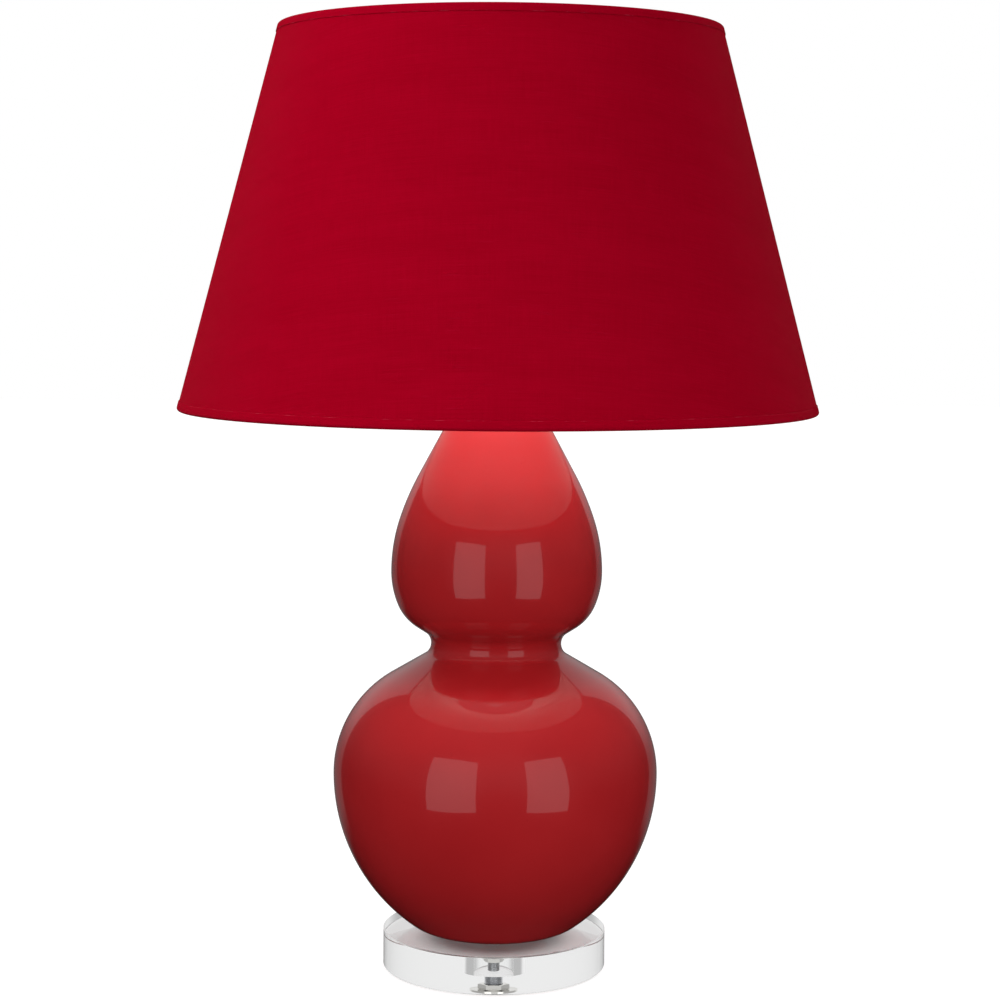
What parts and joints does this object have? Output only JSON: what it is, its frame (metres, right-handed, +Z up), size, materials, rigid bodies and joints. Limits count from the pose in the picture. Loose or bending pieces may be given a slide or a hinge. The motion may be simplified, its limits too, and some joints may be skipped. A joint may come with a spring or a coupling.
{
  "type": "table lamp",
  "caption": "Double gourd ceramic table lamp on a clear acrylic disc, with harp, switched socket, bulb and tapered drum shade.",
  "frame": {"origin": "on the lamp's axis, in the plane that the four bumpers under the base stand on", "axes": "+Z up along the lamp's axis, -Y to the front, where the switch knob is, +Y to the back, where the supply lead leaves"},
  "size_m": [0.4998, 0.4998, 0.7545],
  "materials": {
    "clear_acrylic": "clear, polished all over",
    "clear_vinyl": "clear, soft",
    "red_glaze": "deep red, high gloss",
    "red_fabric": "crimson woven fabric, fine slubs",
    "white_styrene": "white, matt",
    "nickel": "polished nickel plate",
    "zinc_steel": "zinc plated",
    "brass_parts": "plain brass",
    "thread_aluminium": "rolled, bright",
    "insulating_paper": "pressed paper",
    "dark_phenolic": "moulded",
    "black_knob": "moulded, ribbed",
    "black_glass": "fused black glass",
    "frosted_glass": "white frosted",
    "clear_glass": "clear",
    "black_rubber": "matt"
  },
  "bodies": {
    "lamp": {"base_bumpers": "clear_vinyl", "acrylic_base": "clear_acrylic", "base_washer": "nickel", "base_nut": "nickel", "threaded_pipe": "zinc_steel", "foot_gasket": "clear_vinyl", "gourd_body": "red_glaze", "lead_grommet": "black_rubber", "neck_seal": "clear_vinyl", "vase_cap": "nickel", "neck_spacer": "nickel", "lock_nut": "nickel", "harp_saddle": "nickel", "socket_cap": "nickel", "socket_set_screw": "zinc_steel", "socket_shell": "nickel", "socket_liner": "insulating_paper", "socket_body": "dark_phenolic", "terminal_screws": "brass_parts", "centre_contact": "brass_parts", "ring_contact": "brass_parts", "screw_shell": "thread_aluminium", "harp": "nickel", "harp_stud": "nickel"},
    "switch": {"switch_shaft": "brass_parts", "switch_knob": "black_knob"},
    "bulb_carrier": {"bulb_stem": "clear_glass"},
    "bulb": {"bulb_glass": "frosted_glass", "bulb_cap": "thread_aluminium", "bulb_insulator": "black_glass", "bulb_tip": "brass_parts"},
    "left_ferrule": {"harp_ferrule_left": "nickel"},
    "right_ferrule": {"harp_ferrule_right": "nickel"},
    "shade": {"shade_fabric": "red_fabric", "shade_liner": "white_styrene", "shade_bottom_ring": "zinc_steel", "shade_bottom_hem": "red_fabric", "shade_top_ring": "zinc_steel", "shade_top_hem": "red_fabric", "spider_hub": "nickel", "spider_arms": "nickel"},
    "finial_carrier": {"finial_core": "brass_parts"},
    "finial": {"finial_knob": "nickel"}
  },
  "joints": [
    {"name": "switch_turn", "type": "hinge", "parent": "lamp", "child": "switch", "pos_m": [0, 0, 0.52838], "axis": [0, -1, 0], "continuous": true},
    {"name": "bulb_rise", "type": "slide", "parent": "lamp", "child": "bulb_carrier", "axis": [0, 0, 1], "range_m": [0, 0.01825]},
    {"name": "bulb_turn", "type": "hinge", "parent": "bulb_carrier", "child": "bulb", "pos_m": [0, 0, 0.6], "axis": [0, 0, 1], "range_deg": [0, 1800]},
    {"name": "left_ferrule_slide", "type": "slide", "parent": "lamp", "child": "left_ferrule", "axis": [0, 0, 1], "range_m": [0, 0.018]},
    {"name": "right_ferrule_slide", "type": "slide", "parent": "lamp", "child": "right_ferrule", "axis": [0, 0, 1], "range_m": [0, 0.018]},
    {"name": "shade_turn", "type": "hinge", "parent": "lamp", "child": "shade", "pos_m": [0, 0, 0.7288], "axis": [0, 0, 1], "continuous": true},
    {"name": "finial_rise", "type": "slide", "parent": "lamp", "child": "finial_carrier", "axis": [0, 0, 1], "range_m": [0, 0.01]},
    {"name": "finial_turn", "type": "hinge", "parent": "finial_carrier", "child": "finial", "pos_m": [0, 0, 0.735], "axis": [0, 0, 1], "range_deg": [0, 3600]}
  ],
  "couplings": [
    {"joint": "bulb_rise", "follows": "bulb_turn", "m_per_rad": 0.00057757},
    {"joint": "finial_rise", "follows": "finial_turn", "m_per_rad": 0.00014961}
  ]
}
